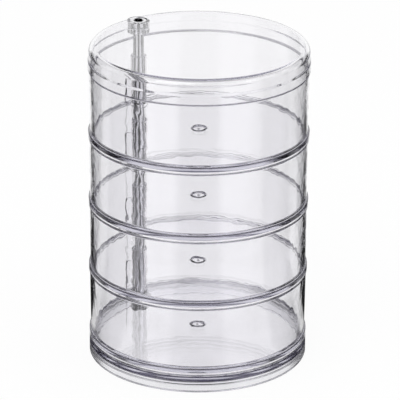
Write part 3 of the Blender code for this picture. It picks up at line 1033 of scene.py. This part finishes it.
for name in ("head_washer", "nut_washer"):
    piece(f"plated_{name}", washer_mesh(name), bright_zinc, "base", "bright_zinc", name)
piece("plated_nut", nut_mesh(), bright_zinc, "base", "bright_zinc", "pivot_nut")

# %% [markdown]
# ## The studio
# Clear plastic has no colour of its own to light: it shows what stands round it. A photographer
# puts it before a white ground, so that it stays clean, and keeps the studio dark beside it, so
# that every edge gets a dark outline. Seen from above, the studio is a circle round the tower. It
# is white at the back, dark at both sides, lit again beside the camera, and dark in front. The same
# circle serves for the floor and for what stands beyond it. It shows only in what a surface
# mirrors, and light that a thick edge leads along inside it is mirrored many times. What the camera
# sees straight, or through the clear walls, is plain white from every side.

# %% Studio levels
STUDIO_STOPS = [
    (0, 1), (0.15, 1), (0.19, 0.01), (0.33, 0.01), (0.36, 0.7), (0.42, 0.7),
    (0.45, 0.01), (0.62, 0.01), (0.66, 0.9), (0.86, 0.9), (0.9, 0.03), (1, 0.03),
]
STUDIO_DARK = 0.01
BACKDROP_TOP = (0.56, 0.66)
OVERHEAD_LIGHT = (0.9, 0.97)
FLOOR_GLOW_SHARE = 0.93
ROOM_LIGHT = 0.75
WHITE = (1, 1, 1, 1)


def mix_colour(tree, factor, first, second):
    """Colour between two colours, each a tuple or a socket."""
    new = node(tree, "ShaderNodeMix", data_type="RGBA")
    tree.links.new(factor, new.inputs[0])
    for end, value in zip(new.inputs[6:8], (first, second)):
        if isinstance(value, bpy.types.NodeSocket):
            tree.links.new(value, end)
        else:
            end.default_value = value
    return new.outputs[2]


def fade(tree, value, low, high):
    """0 at low, 1 at high and a soft step between; low may be the larger."""
    new = node(tree, "ShaderNodeMapRange", interpolation_type="SMOOTHSTEP")
    new.inputs["From Min"].default_value = low
    new.inputs["From Max"].default_value = high
    tree.links.new(value, new.inputs["Value"])
    return new.outputs["Result"]


def studio_circle(tree, vector):
    """Light level by atan2(|x|, y) / pi, which runs from the back (0) round to the front (1), and z."""
    parts = node(tree, "ShaderNodeSeparateXYZ")
    tree.links.new(vector, parts.inputs[0])
    aside = math_node(tree, "ABSOLUTE", parts.outputs["X"], 0)
    share = math_node(tree, "DIVIDE", math_node(tree, "ARCTAN2", aside, parts.outputs["Y"]), math.pi)
    ramp = node(tree, "ShaderNodeValToRGB")
    stops = ramp.color_ramp.elements
    while len(stops) < len(STUDIO_STOPS):
        stops.new(0.5)
    for stop, (place, level) in zip(stops, STUDIO_STOPS):
        stop.position = place
        stop.color = (level, level, level, 1)
    tree.links.new(share, ramp.inputs[0])
    return ramp.outputs[0], parts.outputs["Z"]


def seen_directly(tree):
    """1 for a ray that shows the surface to the camera, to a gloss or through clear plastic."""
    path = node(tree, "ShaderNodeLightPath")
    either = math_node(tree, "MAXIMUM", path.outputs["Is Camera Ray"], path.outputs["Is Glossy Ray"])
    return math_node(tree, "MAXIMUM", either, path.outputs["Is Transmission Ray"])


def white_for_camera(tree, colour):
    """White for what the camera sees straight or through clear plastic, colour for what is mirrored."""
    path = node(tree, "ShaderNodeLightPath")
    straight = math_node(tree, "LESS_THAN", path.outputs["Glossy Depth"], 0.5)
    return mix_colour(tree, straight, colour, WHITE)


print("studio levels", STUDIO_STOPS)

# %% [markdown]
# The floor takes the studio's circle too, so that what the bolt and the thick edges mirror goes on
# down to the tower's foot. A small share of the floor is plain matt, and that share takes the
# tower's soft shadow.

# %% Floor
FLOOR_SIZE = 6.0
FLOOR_DROP = 0.2 * MM


def white_ground():
    """Pale floor that shows the studio's circle to mirrors and takes a soft shadow."""
    material = bpy.data.materials.new("white_ground")
    material.use_nodes = True
    tree = material.node_tree
    tree.nodes.clear()
    out = node(tree, "ShaderNodeOutputMaterial")
    matt = node(tree, "ShaderNodeBsdfDiffuse")
    glow = node(tree, "ShaderNodeEmission", [("Strength", 1.0)])
    mix = node(tree, "ShaderNodeMixShader")
    place = node(tree, "ShaderNodeTexCoord")
    level, _ = studio_circle(tree, place.outputs["Object"])
    seen = white_for_camera(tree, level)
    link = tree.links.new
    link(seen, glow.inputs["Color"])
    link(seen, matt.inputs["Color"])
    link(math_node(tree, "MULTIPLY", seen_directly(tree), FLOOR_GLOW_SHARE), mix.inputs[0])
    link(matt.outputs[0], mix.inputs[1])
    link(glow.outputs[0], mix.inputs[2])
    link(mix.outputs[0], out.inputs["Surface"])
    return material


def add_floor():
    half = FLOOR_SIZE / 2
    corners = np.array([(-half, -half), (half, -half), (half, half), (-half, half)])
    points = np.column_stack([corners, np.full(4, -FLOOR_DROP)])
    mesh = to_mesh("ground", points, [[0, 1, 2, 3]])
    mesh.materials.append(white_ground())
    ground = bpy.data.objects.new("ground", mesh)
    bpy.context.scene.collection.objects.link(ground)
    return ground


print("floor", tuple(add_floor().dimensions))

# %% [markdown]
# Beyond the floor the circle goes on up to the backdrop's top edge. Above that the studio is dark,
# but for one wide light right overhead. This dark part is what the rounded edges mirror, so it
# draws the thin dark lines along them. Light that falls on matt surfaces comes evenly from all
# round.

# %% World
def add_world():
    """World with the studio's circle up to the backdrop's top, dark above, and a light overhead."""
    world = bpy.data.worlds.new("studio")
    world.use_nodes = True
    bpy.context.scene.world = world
    tree = world.node_tree
    tree.nodes.clear()
    out = node(tree, "ShaderNodeOutputWorld")
    room = node(tree, "ShaderNodeBackground", [("Color", WHITE), ("Strength", ROOM_LIGHT)])
    shown = node(tree, "ShaderNodeBackground", [("Strength", 1.0)])
    place = node(tree, "ShaderNodeTexCoord")
    level, height = studio_circle(tree, place.outputs["Generated"])
    dark = (STUDIO_DARK, STUDIO_DARK, STUDIO_DARK, 1)
    backdrop = mix_colour(tree, fade(tree, height, *BACKDROP_TOP), level, dark)
    studio = mix_colour(tree, fade(tree, height, *OVERHEAD_LIGHT), backdrop, WHITE)
    mix = node(tree, "ShaderNodeMixShader")
    link = tree.links.new
    link(white_for_camera(tree, studio), shown.inputs["Color"])
    link(seen_directly(tree), mix.inputs[0])
    link(room.outputs[0], mix.inputs[1])
    link(shown.outputs[0], mix.inputs[2])
    link(mix.outputs[0], out.inputs["Surface"])
    return world


print("world", add_world().name)

# %% [markdown]
# ## Lamps
# One large soft lamp hangs above and in front, and a weaker one fills from the other side. They are
# large, so their highlights on the rims are soft. With the even light of the room they add up to a
# plain level, at which a matt colour renders about as it is written.

# %% Lamps
def add_lamp(name, place, aim, size, power):
    """Square area lamp at place, turned towards aim."""
    data = bpy.data.lights.new(name, "AREA")
    data.size = size
    data.energy = power
    lamp = bpy.data.objects.new(name, data)
    lamp.location = place
    ahead = np.array(aim, dtype=float) - np.array(place, dtype=float)
    pitch = math.acos(-ahead[2] / np.linalg.norm(ahead))
    lamp.rotation_euler = (pitch, 0, math.atan2(-ahead[0], ahead[1]))
    bpy.context.scene.collection.objects.link(lamp)
    return lamp


LAMP_AIM = (0, 0, 0.12)
add_lamp("key_lamp", (-0.5, -0.9, 1.5), LAMP_AIM, 1.0, 8.0)
add_lamp("fill_lamp", (1.1, -0.4, 1.0), LAMP_AIM, 0.9, 3.0)

# %% [markdown]
# ## Rendering
# Light that runs along inside a thick edge is mirrored many times before it comes out, so the
# limits on bounces are high: with fewer, those edges would turn black.

# %% Render settings
BOUNCES = 64
scene = bpy.context.scene
scene.view_settings.view_transform = "Standard"
scene.cycles.max_bounces = BOUNCES
scene.cycles.transmission_bounces = BOUNCES
scene.cycles.glossy_bounces = BOUNCES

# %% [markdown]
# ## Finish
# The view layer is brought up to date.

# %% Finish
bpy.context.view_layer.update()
